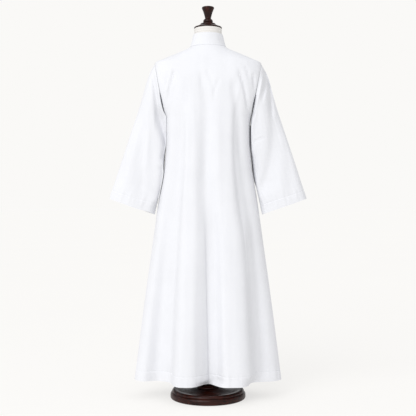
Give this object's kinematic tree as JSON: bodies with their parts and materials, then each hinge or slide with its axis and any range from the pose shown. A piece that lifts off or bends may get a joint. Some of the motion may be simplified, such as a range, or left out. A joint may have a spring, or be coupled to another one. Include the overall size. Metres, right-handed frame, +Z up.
{
  "type": "choir cassock on a dress form",
  "caption": "White choir cassock with a band collar, wide bell sleeves and a flared, softly folded skirt, worn by a limbless dress form on a turned wooden foot",
  "frame": {"origin": "the middle of the round foot's underside, on the floor", "axes": "+Z up; the garment's front faces -Y and its back +Y; +X is the wearer's left"},
  "size_m": [0.866, 0.33, 1.718],
  "materials": {
    "cassock_cloth": "white polyester-cotton twill, matt",
    "form_linen": "cream linen jersey stretched over a stiff shell",
    "turned_wood": "dark red-brown stained beech, gloss varnish",
    "pole_metal": "dark brown enamelled steel tube"
  },
  "bodies": {
    "root": {"back": "cassock_cloth", "front_left": "cassock_cloth", "front_right": "cassock_cloth", "collar": "cassock_cloth", "sleeve_left": "cassock_cloth", "sleeve_right": "cassock_cloth", "form_torso": "form_linen", "form_neck_cap": "turned_wood", "form_finial": "turned_wood", "stand_pole": "pole_metal", "stand_hub": "turned_wood", "stand_foot": "turned_wood"}
  },
  "joints": []
}
